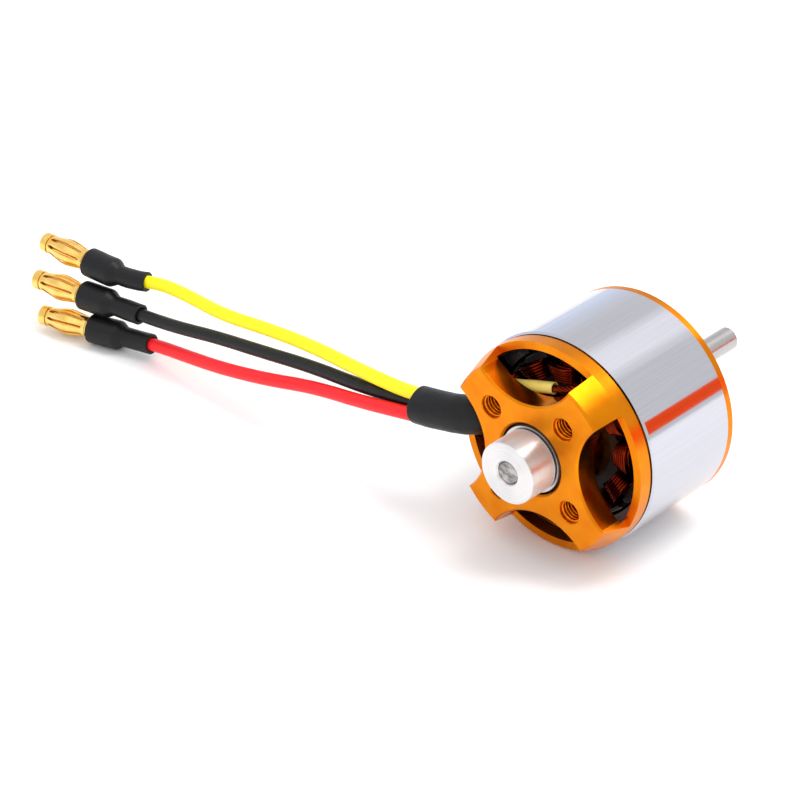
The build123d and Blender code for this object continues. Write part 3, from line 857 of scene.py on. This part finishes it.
def shaft_steel():
    """Ground steel with turning marks. Its end in the collar is cut off rough, with dark scuffs."""
    material = new_material("shaft_steel", (0.50, 0.48, 0.48), 1.0, 0.26)
    paint = Paint(material)
    marks = paint.noise(paint.lathe(11.0, 11.0, 0.5), 3.0)
    smear = paint.noise(paint.stretched((0.6, 0.6, 0.6)), 3.0)
    scuffs = paint.noise(paint.stretched((0.7, 0.7, 1.3)), 4.0, 0.6)
    ground = paint.ramp(marks, ((0.25, (0.45, 0.43, 0.43)), (0.7, (0.50, 0.48, 0.48))))
    tones = ((0.38, (0.15, 0.14, 0.135)), (0.50, (0.30, 0.29, 0.28)), (0.64, (0.46, 0.44, 0.43)))
    scuffed = paint.ramp(scuffs, tones)
    paint.colour(paint.mixed(paint.beyond(SHAFT_END_FACE), scuffed, ground))
    paint.roughness(paint.between(smear, 0.19, 0.31))
    paint.bump(marks, 0.0010)
    return material


OUTER_RACE_RIM = 4.42


def bearing_steel():
    """Ground bearing steel. From the outer race's bevelled rim outwards it is painted dark brown: painted
    shade in the groove round the race.
    """
    material = new_material("bearing_steel", (0.60, 0.60, 0.61), 1.0, 0.22)
    paint = Paint(material)
    marks = paint.noise(paint.lathe(11.0, 11.0, 0.5), 3.0)
    smear = paint.noise(paint.stretched((0.6, 0.6, 0.6)), 3.0)
    steel = paint.ramp(marks, ((0.25, (0.50, 0.49, 0.49)), (0.7, (0.62, 0.61, 0.61))))
    # Painted shade: beyond OUTER_RACE_RIM the steel is dark brown, standing for the shaded groove at the
    # race's rim.
    paint.colour(paint.mixed(paint.outside(OUTER_RACE_RIM), steel, (0.05, 0.03, 0.02)))
    paint.roughness(paint.between(smear, 0.18, 0.32))
    paint.bump(marks, 0.001)
    return material


def collar_metal():
    """A turned collar, plated: its fine grooves smear what it mirrors along the shaft."""
    material = new_material("collar_metal", (0.83, 0.81, 0.81), 1.0, 0.39)
    paint = Paint(material)
    marks = paint.noise(paint.lathe(5.0, 5.0, 0.4), 2.0)
    stain = paint.noise(paint.stretched((0.9, 0.9, 0.9)), 3.0)
    paint.roughness(paint.between(stain, 0.36, 0.42))
    paint.colour(paint.ramp(marks, ((0.3, (0.79, 0.77, 0.77)), (0.7, (0.86, 0.84, 0.84)))))
    paint.turned(0.97)
    paint.bump(marks, 0.0004)
    return material


def laminations():
    """A stack of thin varnished plates, 0.35 mm each."""
    material = new_material("laminations", (0.20, 0.20, 0.21), 0.9, 0.42)
    paint = Paint(material)
    plates = paint.node("ShaderNodeTexWave", wave_type="BANDS", bands_direction="Y", Scale=1.0)
    plates.inputs["Distortion"].default_value = 0.4
    paint.link(paint.stretched((1, 0.45, 1)), plates.inputs["Vector"])
    stain = paint.noise(paint.stretched((0.8, 0.8, 0.8)), 4.0)
    paint.colour(paint.ramp(stain, ((0.3, (0.13, 0.13, 0.14)), (0.7, (0.26, 0.25, 0.25)))))
    paint.roughness(paint.between(stain, 0.34, 0.55))
    paint.bump(plates.outputs["Fac"], 0.03)
    return material


def enamelled_copper():
    """Copper seen through dark red-brown enamel, glossy."""
    material = new_material("enamelled_copper", (0.30, 0.035, 0.009), 1.0, 0.20)
    paint = Paint(material)
    batch = paint.noise(paint.stretched((0.5, 0.5, 0.5)), 3.0)
    fine = paint.noise(paint.stretched((7, 7, 7)), 2.0)
    tones = ((0.3, (0.09, 0.007, 0.002)), (0.6, (0.25, 0.024, 0.006)), (0.8, (0.62, 0.09, 0.022)))
    paint.colour(paint.ramp(batch, tones))
    paint.roughness(paint.between(fine, 0.14, 0.26))
    paint.bump(fine, 0.004)
    return material


def insulation(name, colour, lighter, roughness=0.42):
    """Lead insulation: a soft satin skin with faint ripples and a little dust."""
    material = new_material(name, colour, 0.0, roughness, specular=0.35)
    paint = Paint(material)
    dust = paint.noise(paint.stretched((3.0, 3.0, 3.0)), 6.0, 0.7)
    ripple = paint.noise(paint.stretched((0.7, 2.2, 2.2)), 2.0)
    paint.colour(paint.ramp(dust, ((0.35, colour), (0.72, colour), (0.86, lighter))))
    paint.roughness(paint.between(ripple, roughness - 0.07, roughness + 0.08))
    paint.bump(ripple, 0.05)
    paint.bump(dust, 0.008)
    return material


def heat_shrink():
    """Black heat-shrink: satin, with long soft ripples, fine pores and a few scuffs."""
    material = new_material("black_sleeve", (0.010, 0.010, 0.012), 0.0, 0.42, specular=0.28)
    paint = Paint(material)
    ripple = paint.noise(paint.stretched((0.45, 1.0, 1.0)), 2.0)
    pores = paint.noise(paint.stretched((14, 14, 14)), 2.0)
    scuffs = paint.noise(paint.stretched((1.2, 3.5, 3.5)), 6.0, 0.75)
    tones = ((0.4, (0.005, 0.005, 0.006)), (0.66, (0.008, 0.008, 0.009)), (0.82, (0.03, 0.03, 0.032)))
    paint.colour(paint.ramp(scuffs, tones))
    paint.roughness(paint.between(scuffs, 0.36, 0.52))
    paint.bump(ripple, 0.07)
    paint.bump(pores, 0.006)
    return material


def gold_plating():
    """Gold plate over turned brass, bright, with faint marks and a few duller patches."""
    material = new_material("gold_plating", (1.0, 0.66, 0.20), 1.0, 0.24)
    paint = Paint(material)
    patch = paint.noise(paint.stretched((0.7, 0.7, 0.7)), 4.0)
    marks = paint.noise(paint.stretched((7, 1.2, 1.2)), 3.0)
    paint.colour(paint.ramp(patch, ((0.3, (0.95, 0.56, 0.12)), (0.65, (1.0, 0.70, 0.22)))))
    paint.roughness(paint.between(patch, 0.15, 0.28))
    paint.bump(marks, 0.004)
    return material


def plain_plastic(name, colour, lighter, roughness, grain):
    """A moulded or printed plastic with a fine grain and uneven tone."""
    material = new_material(name, colour, 0.0, roughness)
    paint = Paint(material)
    tone = paint.noise(paint.stretched((0.9, 0.9, 0.9)), 4.0)
    fine = paint.noise(paint.stretched((9, 9, 9)), 2.0)
    paint.colour(paint.ramp(tone, ((0.3, colour), (0.75, lighter))))
    paint.roughness(paint.between(fine, roughness - 0.06, roughness + 0.1))
    paint.bump(fine, grain)
    return material


MATERIALS = {
    "gold_anodised": gold_anodised(),
    "polished_can": polished_can(),
    "laminations": laminations(),
    "enamelled_copper": enamelled_copper(),
    "shaft_steel": shaft_steel(),
    "collar_metal": collar_metal(),
    "bearing_steel": bearing_steel(),
    # Painted shade: the magnets' nickel is near-black, as they lie in shade inside the rotor.
    "magnet_nickel": turned_steel("magnet_nickel", (0.09, 0.085, 0.085), 0.3, 0.002),
    "black_steel": turned_steel("black_steel", (0.10, 0.10, 0.105), 0.4, 0.002),
    "cage_brass": turned_steel("cage_brass", (0.75, 0.52, 0.22), 0.3, 0.002),
    "solder": turned_steel("solder", (0.60, 0.61, 0.63), 0.35, 0.01),
    "gold_plating": gold_plating(),
    "black_sleeve": heat_shrink(),
    "slot_insulation": plain_plastic(
        "slot_insulation", (0.012, 0.012, 0.014), (0.03, 0.03, 0.03), 0.5, 0.01
    ),
    "pale_tubing": plain_plastic("pale_tubing", (0.80, 0.62, 0.10), (0.92, 0.76, 0.22), 0.45, 0.006),
    "yellow_silicone": insulation("yellow_silicone", (1.0, 0.86, 0.006), (1.0, 0.92, 0.3)),
    "black_silicone": insulation("black_silicone", (0.005, 0.005, 0.005), (0.05, 0.045, 0.04)),
    "red_silicone": insulation("red_silicone", (0.95, 0.010, 0.016), (1.0, 0.14, 0.14)),
}

# ---------------------------------------------------------------- build the pieces
pieces = [add_bundle_sleeve(), add_threads(), *add_windings(), *LEADS.values()]
for number, colour in enumerate(COLOURS):
    pieces.append(add_winding_ends(colour))
    shrink = add_heat_shrink(colour, number * 4.7)
    spring = add_spring(colour)
    pieces += [shrink, spring]
for colour in TUBING_SHARES:
    pieces.append(add_tubing(colour))

for piece in pieces:
    piece.data.materials.clear()
    piece.data.materials.append(MATERIALS[piece["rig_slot"]])
slot_of = {row["node"]: row["material_slot"] for row in frame["record"]["subparts"]}
for name, node in NODES.items():
    for place in node.material_slots:
        place.material = MATERIALS[slot_of[name]]


# ---------------------------------------------------------------- stage
FLOOR_HALF_SIZE = 6.0
FLOOR_GAP = 0.00002


def flat_sheet(name, centre, along, across):
    """A flat sheet. along and across run from its centre to its edges."""
    corners = ((-1, -1), (1, -1), (1, 1), (-1, 1))
    bm = bmesh.new()
    bm.faces.new([bm.verts.new(centre + along * a + across * b) for a, b in corners])
    mesh = bpy.data.meshes.new(name)
    bm.to_mesh(mesh)
    bm.free()
    sheet = bpy.data.objects.new(name, mesh)
    bpy.context.collection.objects.link(sheet)
    return sheet


def add_floor():
    """A plain pale floor under the can."""
    centre = Vector((0, 0, FLOOR - FLOOR_GAP))
    floor = flat_sheet("floor", centre, Vector((FLOOR_HALF_SIZE, 0, 0)), Vector((0, FLOOR_HALF_SIZE, 0)))
    material = new_material("paper", (0.93, 0.93, 0.93), 0.0, 0.8, specular=0.2)
    paint = Paint(material)
    fibres = paint.noise(paint.stretched((0.4, 0.4, 0.4)), 5.0)
    paint.roughness(paint.between(fibres, 0.75, 0.9))
    floor.data.materials.append(material)


def add_card(name, centre, along, across, colour, strength):
    """A glowing card that shows only in reflections."""
    card = flat_sheet(name, centre, along, across)
    material = bpy.data.materials.new(name)
    material.use_nodes = True
    tree = material.node_tree
    tree.nodes.remove(tree.nodes["Principled BSDF"])
    glow = tree.nodes.new("ShaderNodeEmission")
    glow.inputs["Color"].default_value = (*colour, 1)
    glow.inputs["Strength"].default_value = strength
    tree.links.new(glow.outputs[0], tree.nodes["Material Output"].inputs["Surface"])
    card.data.materials.append(material)
    card.visible_camera = False
    card.visible_diffuse = False
    card.visible_shadow = False


def add_light(name, location, size, power, seen_in_metal=False):
    """A soft box that faces the motor."""
    data = bpy.data.lights.new(name, "AREA")
    data.shape = "RECTANGLE"
    data.size, data.size_y = size
    data.energy = power
    light = bpy.data.objects.new(name, data)
    bpy.context.collection.objects.link(light)
    light.location = location
    light.rotation_euler = (-Vector(location)).to_track_quat("-Z", "Y").to_euler()
    light.visible_camera = False
    light.visible_glossy = seen_in_metal


# A plain studio by the angle round the shaft's axis: 0 is +X, 90 is up, 180 is -X.
# It is a grey room with a soft box overhead and a cooler wall on the -X side.
ROOM = (0.9, 0.9, 0.9)
SOFT_BOX = (1.3, 1.3, 1.3)
COOL_WALL = (1.0, 1.1, 1.3)
STUDIO = (
    (65, ROOM),
    (80, SOFT_BOX),
    (100, SOFT_BOX),
    (115, ROOM),
    (140, ROOM),
    (180, COOL_WALL),
)


def add_world():
    """Even and pale to the camera, and the studio to everything that reflects or is lit."""
    world = bpy.data.worlds.new("studio")
    world.use_nodes = True
    bpy.context.scene.world = world
    tree = world.node_tree
    tree.nodes.clear()
    new = tree.nodes.new
    link = tree.links.new
    parts = new("ShaderNodeSeparateXYZ")
    link(new("ShaderNodeTexCoord").outputs["Generated"], parts.inputs[0])
    angle = new("ShaderNodeMath")
    angle.operation = "ARCTAN2"
    link(parts.outputs["Z"], angle.inputs[0])
    link(parts.outputs["X"], angle.inputs[1])
    share = new("ShaderNodeMath")
    share.operation = "DIVIDE"
    share.inputs[1].default_value = math.pi
    link(angle.outputs[0], share.inputs[0])
    ramp = new("ShaderNodeValToRGB")
    stops = ramp.color_ramp.elements
    stops.remove(stops[1])
    for degrees, colour in STUDIO:
        stops.new(degrees / 180).color = (*colour, 1)
    stops.remove(stops[0])
    link(share.outputs[0], ramp.inputs[0])
    room = new("ShaderNodeBackground")
    plain = new("ShaderNodeBackground")
    mix = new("ShaderNodeMixShader")
    output = new("ShaderNodeOutputWorld")
    link(ramp.outputs[0], room.inputs["Color"])
    link(new("ShaderNodeLightPath").outputs["Is Camera Ray"], mix.inputs[0])
    link(room.outputs[0], mix.inputs[1])
    link(plain.outputs[0], mix.inputs[2])
    link(mix.outputs[0], output.inputs[0])


add_floor()
add_world()
add_light("back_left", (-0.55, 0.75, 0.75), (0.35, 0.35), 1.5)
add_light("back_right", (0.75, 0.45, 0.8), (0.35, 0.35), 1.3)
add_light("front", (0.35, -0.75, 0.8), (0.6, 0.6), 1.1)
add_light("strip", (0.27, 0.27, 0.9), (0.26, 0.5), 3.5, seen_in_metal=True)
add_card(
    "orange_card",
    mm(330, 250, 65),
    mm(0, 290, 0),
    mm(0, 0, 40),
    (1.0, 0.08, 0.01),
    1.3,
)
scene = bpy.context.scene
scene.view_settings.view_transform = "Standard"
scene.view_settings.look = "None"
